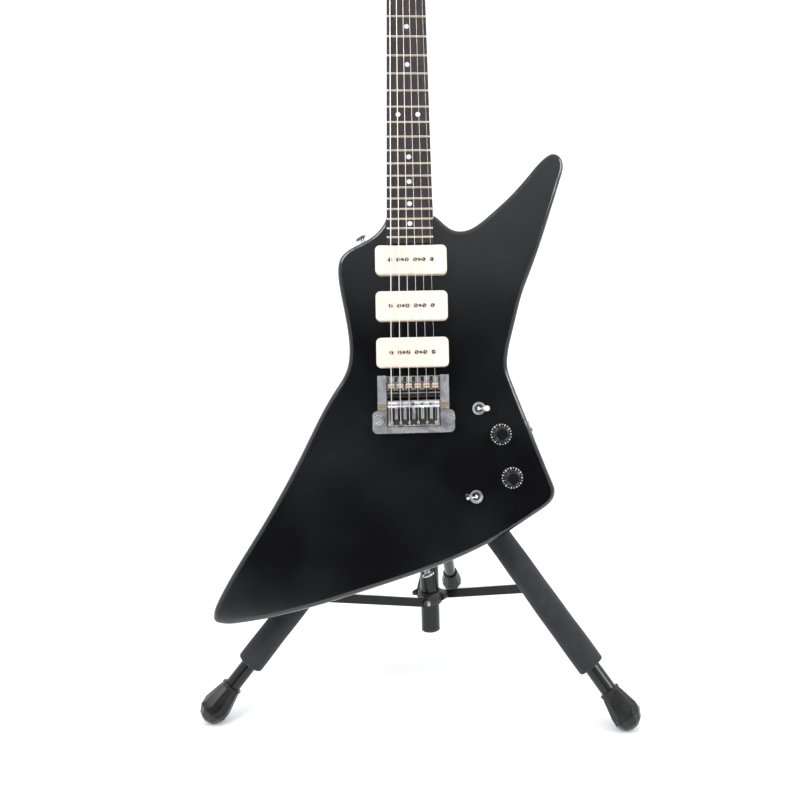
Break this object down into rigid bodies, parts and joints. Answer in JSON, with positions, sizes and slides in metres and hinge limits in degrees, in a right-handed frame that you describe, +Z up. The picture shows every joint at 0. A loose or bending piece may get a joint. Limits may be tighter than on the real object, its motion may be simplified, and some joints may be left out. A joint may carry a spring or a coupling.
{
  "type": "electric guitar on folding stand",
  "caption": "Angular solid-body electric guitar hanging from its headstock on a folding tripod stand with foam-sleeved legs.",
  "frame": {"origin": "floor level under the centre of the whole object's box", "axes": "+Z up, the guitar faces -Y, +X to the right as seen from the front"},
  "size_m": [0.5106, 0.4761, 1.1932],
  "materials": {
    "gloss_black_tube": "gloss",
    "black_plastic": "satin",
    "black_foam": "closed-cell foam",
    "black_rubber": "matt",
    "black_steel": "satin",
    "black_gloss_lacquer": "high gloss",
    "black_cover": "satin",
    "chrome": "polished",
    "neck_wood": "satin",
    "rosewood": "oiled",
    "nickel_fret": "polished",
    "pearl_dot": "polished",
    "bone_nut": "satin",
    "cream_plastic": "satin",
    "brass": "polished",
    "steel_string": "wound steel",
    "black_knob": "satin"
  },
  "bodies": {
    "stand_tube": {"centre_tube": "gloss_black_tube", "tube_plug": "black_plastic", "lower_collar": "black_plastic", "clutch": "black_plastic"},
    "hub": {"hub": "black_plastic"},
    "hub_knob": {"hub_knob": "black_plastic"},
    "trigger": {"clutch_trigger": "black_plastic"},
    "upper_mast": {"upper_shaft": "gloss_black_tube", "yoke": "black_plastic", "yoke_pads": "black_foam"},
    "leg_left": {"leg_tube_left": "gloss_black_tube", "foam_left": "black_foam", "foot_left": "black_rubber"},
    "leg_right": {"leg_tube_right": "gloss_black_tube", "foam_right": "black_foam", "foot_right": "black_rubber"},
    "leg_rear": {"leg_tube_rear": "gloss_black_tube", "foot_rear": "black_rubber"},
    "brace_left": {"brace_left": "black_steel"},
    "brace_right": {"brace_right": "black_steel"},
    "brace_rear": {"brace_rear": "black_steel"},
    "knob_upper": {"knob_upper": "black_knob"},
    "knob_lower": {"knob_lower": "black_knob"},
    "selector_lever": {"switch_lever_selector": "cream_plastic"},
    "mini_lever": {"switch_lever_mini": "chrome"},
    "string_bar": {"string_bar": "chrome"},
    "tuner_left_1": {"tuner_button_left_1": "chrome"},
    "tuner_left_2": {"tuner_button_left_2": "chrome"},
    "tuner_left_3": {"tuner_button_left_3": "chrome"},
    "tuner_right_1": {"tuner_button_right_1": "chrome"},
    "tuner_right_2": {"tuner_button_right_2": "chrome"},
    "tuner_right_3": {"tuner_button_right_3": "chrome"},
    "guitar": {"body": "black_gloss_lacquer", "control_cover": "black_cover", "neck_plate": "chrome", "neck": "neck_wood", "fingerboard": "rosewood", "frets": "nickel_fret", "inlays": "pearl_dot", "nut": "bone_nut", "truss_cover": "black_cover", "tuner_housings": "chrome", "tuner_posts": "chrome", "bridge_base": "chrome", "bridge_studs": "chrome", "switch_nut_selector": "chrome", "switch_nut_mini": "chrome", "strap_buttons": "chrome", "jack": "chrome", "pot_shafts": "chrome", "pickup_1": "cream_plastic", "pickup_2": "cream_plastic", "pickup_3": "cream_plastic", "pole_screws": "nickel_fret", "saddles": "brass", "strings": "steel_string"}
  },
  "joints": [
    {"name": "hub_slide", "type": "slide", "parent": "stand_tube", "child": "hub", "axis": [0, 0, 1], "range_m": [0, 0.1729]},
    {"name": "leg_rear_hinge", "type": "hinge", "parent": "hub", "child": "leg_rear", "pos_m": [0.01978, -0.03021, 0.2882], "axis": [-0.9925, 0.1219, 0], "range_deg": [0, 37.1]},
    {"name": "brace_rear_hinge", "type": "hinge", "parent": "stand_tube", "child": "brace_rear", "pos_m": [0.01856, -0.04013, 0.0958], "axis": [0.9925, -0.1219, 0], "range_deg": [0, 64.6]},
    {"name": "leg_left_hinge", "type": "hinge", "parent": "hub", "child": "leg_left", "pos_m": [-0.00524, -0.06341, 0.2882], "axis": [0.3907, -0.9205, 0], "range_deg": [0, 37.1]},
    {"name": "brace_left_hinge", "type": "hinge", "parent": "stand_tube", "child": "brace_left", "pos_m": [0.00396, -0.0595, 0.0958], "axis": [-0.3907, 0.9205, 0], "range_deg": [0, 64.6]},
    {"name": "leg_right_hinge", "type": "hinge", "parent": "hub", "child": "leg_right", "pos_m": [0.03602, -0.06847, 0.2882], "axis": [0.6018, 0.7986, 0], "range_deg": [0, 37.1]},
    {"name": "brace_right_hinge", "type": "hinge", "parent": "stand_tube", "child": "brace_right", "pos_m": [0.02803, -0.06245, 0.0958], "axis": [-0.6018, -0.7986, 0], "range_deg": [0, 64.6]},
    {"name": "hub_knob_turn", "type": "hinge", "parent": "hub", "child": "hub_knob", "pos_m": [-0.00192, -0.03989, 0.3012], "axis": [-0.7986, 0.6018, 0], "continuous": true},
    {"name": "height_slide", "type": "slide", "parent": "stand_tube", "child": "upper_mast", "axis": [0, 0, 1], "range_m": [0, 0.15]},
    {"name": "clutch_trigger_squeeze", "type": "hinge", "parent": "stand_tube", "child": "trigger", "pos_m": [0.01953, -0.03219, 0.604], "axis": [-0.9925, 0.1219, 0], "range_deg": [0, 7], "stiffness_Nm_per_rad": 0.2},
    {"name": "guitar_lift", "type": "slide", "parent": "upper_mast", "child": "guitar", "axis": [0.0052, 0.0854, 0.9963], "range_m": [0, 0.06]},
    {"name": "knob_upper_turn", "type": "hinge", "parent": "guitar", "child": "knob_upper", "pos_m": [0.10905, -0.17136, 0.33124], "axis": [0, -0.9963, 0.0854], "range_deg": [-150, 150]},
    {"name": "knob_lower_turn", "type": "hinge", "parent": "guitar", "child": "knob_lower", "pos_m": [0.12068, -0.17578, 0.27957], "axis": [0, -0.9963, 0.0854], "range_deg": [-150, 150]},
    {"name": "selector_flip", "type": "hinge", "parent": "guitar", "child": "selector_lever", "pos_m": [0.08342, -0.16717, 0.36253], "axis": [0.0052, 0.0854, 0.9963], "range_deg": [-80, 0]},
    {"name": "mini_switch_flip", "type": "hinge", "parent": "guitar", "child": "mini_lever", "pos_m": [0.07707, -0.17606, 0.25884], "axis": [0.0052, 0.0854, 0.9963], "range_deg": [0, 76]},
    {"name": "string_bar_tilt", "type": "hinge", "parent": "guitar", "child": "string_bar", "pos_m": [0.00596, -0.17618, 0.37094], "axis": [1, -0.0004, -0.0052], "range_deg": [-3, 3], "stiffness_Nm_per_rad": 2},
    {"name": "tuner_left_1_turn", "type": "hinge", "parent": "guitar", "child": "tuner_left_1", "pos_m": [-0.03435, -0.09387, 1.06879], "axis": [-1, 0.0013, 0.005], "continuous": true},
    {"name": "tuner_left_2_turn", "type": "hinge", "parent": "guitar", "child": "tuner_left_2", "pos_m": [-0.03413, -0.08307, 1.10938], "axis": [-1, 0.0013, 0.005], "continuous": true},
    {"name": "tuner_left_3_turn", "type": "hinge", "parent": "guitar", "child": "tuner_left_3", "pos_m": [-0.03392, -0.07228, 1.14997], "axis": [-1, 0.0013, 0.005], "continuous": true},
    {"name": "tuner_right_1_turn", "type": "hinge", "parent": "guitar", "child": "tuner_right_1", "pos_m": [0.05245, -0.09399, 1.06836], "axis": [1, -0.0013, -0.005], "continuous": true},
    {"name": "tuner_right_2_turn", "type": "hinge", "parent": "guitar", "child": "tuner_right_2", "pos_m": [0.05266, -0.08319, 1.10895], "axis": [1, -0.0013, -0.005], "continuous": true},
    {"name": "tuner_right_3_turn", "type": "hinge", "parent": "guitar", "child": "tuner_right_3", "pos_m": [0.05288, -0.07239, 1.14953], "axis": [1, -0.0013, -0.005], "continuous": true}
  ],
  "couplings": [
    {"joint": "leg_rear_hinge", "follows": "hub_slide", "rad_per_m": 3.7349},
    {"joint": "brace_rear_hinge", "follows": "hub_slide", "rad_per_m": 6.5072},
    {"joint": "leg_left_hinge", "follows": "hub_slide", "rad_per_m": 3.7349},
    {"joint": "brace_left_hinge", "follows": "hub_slide", "rad_per_m": 6.5072},
    {"joint": "leg_right_hinge", "follows": "hub_slide", "rad_per_m": 3.7349},
    {"joint": "brace_right_hinge", "follows": "hub_slide", "rad_per_m": 6.5072}
  ]
}
